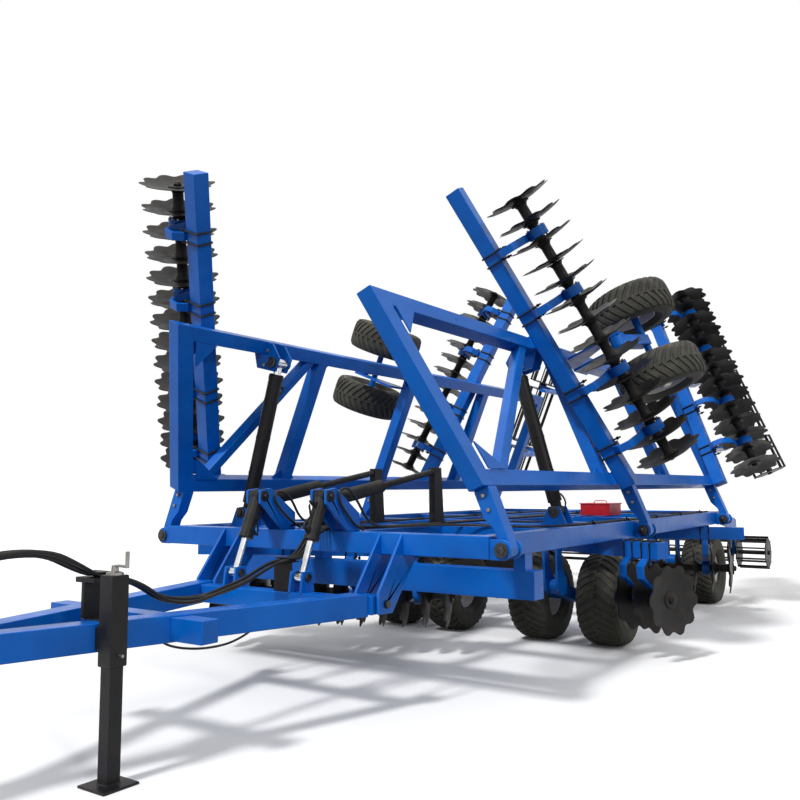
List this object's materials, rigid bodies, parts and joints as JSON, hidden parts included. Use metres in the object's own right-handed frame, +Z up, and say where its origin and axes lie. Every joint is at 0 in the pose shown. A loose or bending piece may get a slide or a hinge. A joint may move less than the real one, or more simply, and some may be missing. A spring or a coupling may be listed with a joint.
{
  "type": "trailed disc harrow",
  "caption": "Folding tillage tool on transport wheels: notched discs in angled gangs under a frame and its lifting wings, cage rollers behind, towing eye and jack in front",
  "frame": {"origin": "on the floor under the middle of the whole length and width, wings folded", "axes": "+X is the machine's left, +Y is its rear and -Y its front with the towing eye, +Z is up"},
  "size_m": [4.5476, 10.908, 4.2555],
  "materials": {
    "blue_paint": "gloss",
    "black_steel": "satin",
    "disc_steel": "satin",
    "tyre": "matte",
    "rim_steel": "satin",
    "rod_chrome": "polished",
    "pin_steel": "satin",
    "red_paint": "gloss"
  },
  "bodies": {
    "frame": {"centre_gang_beams": "blue_paint", "centre_gang_hangers": "blue_paint", "centre_under_frame": "blue_paint", "centre_wheel_arms": "blue_paint", "frame_brackets": "blue_paint", "frame_cross_members": "blue_paint", "frame_long_rails": "blue_paint", "frame_lugs": "blue_paint", "frame_pins": "pin_steel", "levelling_struts": "black_steel", "oil_box": "red_paint"},
    "drawbar": {"drawbar_members": "blue_paint", "drawbar_tubes": "blue_paint", "hose_stand": "black_steel", "jack_sleeve": "black_steel", "towing_eye": "blue_paint"},
    "jack": {"jack_leg": "black_steel"},
    "level_barrels": {"level_barrels": "black_steel"},
    "level_rods": {"level_rods": "rod_chrome"},
    "wing_left": {"wing_left_arms": "blue_paint", "wing_left_brackets": "blue_paint", "wing_left_cross_members": "blue_paint", "wing_left_gang_beams": "blue_paint", "wing_left_gang_hangers": "blue_paint", "wing_left_long_rails": "blue_paint"},
    "fold_barrel_left": {"fold_barrel_left": "black_steel"},
    "fold_rod_left": {"fold_rod_left": "rod_chrome"},
    "wheels_main_left": {"rims_main_left": "rim_steel", "tyres_main_left": "tyre"},
    "wheels_rear_left": {"rims_rear_left": "rim_steel", "tyres_rear_left": "tyre"},
    "wheels_wing_left": {"rims_wing_left": "rim_steel", "tyres_wing_left": "tyre"},
    "wing_right": {"wing_right_arms": "blue_paint", "wing_right_brackets": "blue_paint", "wing_right_cross_members": "blue_paint", "wing_right_gang_beams": "blue_paint", "wing_right_gang_hangers": "blue_paint", "wing_right_long_rails": "blue_paint"},
    "fold_barrel_right": {"fold_barrel_right": "black_steel"},
    "fold_rod_right": {"fold_rod_right": "rod_chrome"},
    "wheels_main_right": {"rims_main_right": "rim_steel", "tyres_main_right": "tyre"},
    "wheels_rear_right": {"rims_rear_right": "rim_steel", "tyres_rear_right": "tyre"},
    "wheels_wing_right": {"rims_wing_right": "rim_steel", "tyres_wing_right": "tyre"},
    "gang_centre_left_front": {"gang_centre_left_front": "disc_steel"},
    "gang_centre_left_rear": {"gang_centre_left_rear": "disc_steel"},
    "gang_centre_right_front": {"gang_centre_right_front": "disc_steel"},
    "gang_centre_right_rear": {"gang_centre_right_rear": "disc_steel"},
    "gang_wing_left_front": {"gang_wing_left_front": "disc_steel"},
    "gang_wing_left_rear": {"gang_wing_left_rear": "disc_steel"},
    "gang_wing_right_front": {"gang_wing_right_front": "disc_steel"},
    "gang_wing_right_rear": {"gang_wing_right_rear": "disc_steel"},
    "roller_centre": {"roller_centre": "black_steel"},
    "roller_wing_left": {"roller_wing_left": "black_steel"},
    "roller_wing_right": {"roller_wing_right": "black_steel"}
  },
  "joints": [
    {"name": "wing_left_fold", "type": "hinge", "parent": "frame", "child": "wing_left", "pos_m": [1.65, -1.926, 1.114], "axis": [0, 1, 0], "range_deg": [0, 112.6]},
    {"name": "wheels_main_left_spin", "type": "hinge", "parent": "frame", "child": "wheels_main_left", "pos_m": [0.8605, 1.044, 0.437], "axis": [1, 0, 0], "continuous": true},
    {"name": "wheels_rear_left_spin", "type": "hinge", "parent": "frame", "child": "wheels_rear_left", "pos_m": [1.216, 4.509, 0.437], "axis": [1, 0, 0], "continuous": true},
    {"name": "wheels_wing_left_spin", "type": "hinge", "parent": "wing_left", "child": "wheels_wing_left", "pos_m": [1.62748, 1.124, 2.92978], "axis": [-0.3843, 0, 0.9232], "continuous": true},
    {"name": "wing_right_fold", "type": "hinge", "parent": "frame", "child": "wing_right", "pos_m": [-1.65, -1.926, 1.114], "axis": [0, -1, 0], "range_deg": [0, 112.6]},
    {"name": "wheels_main_right_spin", "type": "hinge", "parent": "frame", "child": "wheels_main_right", "pos_m": [-0.8605, 1.044, 0.437], "axis": [1, 0, 0], "continuous": true},
    {"name": "wheels_rear_right_spin", "type": "hinge", "parent": "frame", "child": "wheels_rear_right", "pos_m": [-1.216, 4.509, 0.437], "axis": [1, 0, 0], "continuous": true},
    {"name": "wheels_wing_right_spin", "type": "hinge", "parent": "wing_right", "child": "wheels_wing_right", "pos_m": [-1.62748, 1.124, 2.92978], "axis": [0.3843, 0, 0.9232], "continuous": true},
    {"name": "gang_centre_right_front_spin", "type": "hinge", "parent": "frame", "child": "gang_centre_right_front", "pos_m": [0.186, -0.21416, 0.54], "axis": [-0.9153, -0.4027, 0], "continuous": true},
    {"name": "gang_centre_right_rear_spin", "type": "hinge", "parent": "frame", "child": "gang_centre_right_rear", "pos_m": [-0.416, 1.86632, 0.54], "axis": [-0.9654, 0.2607, 0], "continuous": true},
    {"name": "gang_centre_left_front_spin", "type": "hinge", "parent": "frame", "child": "gang_centre_left_front", "pos_m": [1.6, 0.66, 0.54], "axis": [0.9153, -0.4027, 0], "continuous": true},
    {"name": "gang_centre_left_rear_spin", "type": "hinge", "parent": "frame", "child": "gang_centre_left_rear", "pos_m": [0.226, 3.23502, 0.54], "axis": [0.9654, 0.2607, 0], "continuous": true},
    {"name": "gang_wing_right_front_spin", "type": "hinge", "parent": "wing_right", "child": "gang_wing_right_front", "pos_m": [-1.98778, -1.386, 1.79619], "axis": [0.3518, -0.4027, 0.845], "continuous": true},
    {"name": "gang_wing_right_rear_spin", "type": "hinge", "parent": "wing_right", "child": "gang_wing_right_rear", "pos_m": [-1.98778, 2.339, 1.79619], "axis": [0.371, 0.2607, 0.8913], "continuous": true},
    {"name": "gang_wing_left_front_spin", "type": "hinge", "parent": "wing_left", "child": "gang_wing_left_front", "pos_m": [1.98778, 0.584, 1.79619], "axis": [-0.3518, -0.4027, 0.845], "continuous": true},
    {"name": "gang_wing_left_rear_spin", "type": "hinge", "parent": "wing_left", "child": "gang_wing_left_rear", "pos_m": [1.98778, 4.059, 1.79619], "axis": [-0.371, 0.2607, 0.8913], "continuous": true},
    {"name": "roller_centre_spin", "type": "hinge", "parent": "frame", "child": "roller_centre", "pos_m": [0, 5.234, 0.62], "axis": [1, 0, 0], "continuous": true},
    {"name": "roller_wing_left_spin", "type": "hinge", "parent": "wing_left", "child": "roller_wing_left", "pos_m": [1.54884, 5.234, 2.6425], "axis": [-0.3843, 0, 0.9232], "continuous": true},
    {"name": "roller_wing_right_spin", "type": "hinge", "parent": "wing_right", "child": "roller_wing_right", "pos_m": [-1.54884, 5.234, 2.6425], "axis": [0.3843, 0, 0.9232], "continuous": true},
    {"name": "fold_barrel_left_swing", "type": "hinge", "parent": "frame", "child": "fold_barrel_left", "pos_m": [1.17, -0.026, 1.304], "axis": [0, 1, 0], "range_deg": [0, 105.2]},
    {"name": "fold_rod_left_reach", "type": "slide", "parent": "fold_barrel_left", "child": "fold_rod_left", "axis": [-0.2659, 0, 0.964], "range_m": [0, 0.83]},
    {"name": "fold_barrel_right_swing", "type": "hinge", "parent": "frame", "child": "fold_barrel_right", "pos_m": [-1.17, -1.476, 1.304], "axis": [0, -1, 0], "range_deg": [0, 105.2]},
    {"name": "fold_rod_right_reach", "type": "slide", "parent": "fold_barrel_right", "child": "fold_rod_right", "axis": [0.2659, 0, 0.964], "range_m": [0, 0.83]},
    {"name": "drawbar_tilt", "type": "hinge", "parent": "frame", "child": "drawbar", "pos_m": [0, -2.226, 0.74], "axis": [1, 0, 0], "range_deg": [-8, 8]},
    {"name": "level_barrels_swing", "type": "hinge", "parent": "frame", "child": "level_barrels", "pos_m": [0, -2.226, 1.46], "axis": [1, 0, 0], "range_deg": [-2, 2]},
    {"name": "level_rods_reach", "type": "slide", "parent": "level_barrels", "child": "level_rods", "axis": [0, -0.3685, -0.9296], "range_m": [-0.06, 0.06]},
    {"name": "jack_reach", "type": "slide", "parent": "drawbar", "child": "jack", "axis": [0, 0, 1], "range_m": [0, 0.35]}
  ],
  "couplings": [
    {"joint": "fold_barrel_left_swing", "follows": "wing_left_fold", "ratio": 0.9339},
    {"joint": "fold_rod_left_reach", "follows": "wing_left_fold", "m_per_rad": 0.4219},
    {"joint": "fold_barrel_right_swing", "follows": "wing_right_fold", "ratio": 0.9339},
    {"joint": "fold_rod_right_reach", "follows": "wing_right_fold", "m_per_rad": 0.4219},
    {"joint": "level_barrels_swing", "follows": "drawbar_tilt", "ratio": -0.121},
    {"joint": "level_rods_reach", "follows": "drawbar_tilt", "m_per_rad": 0.2653}
  ]
}
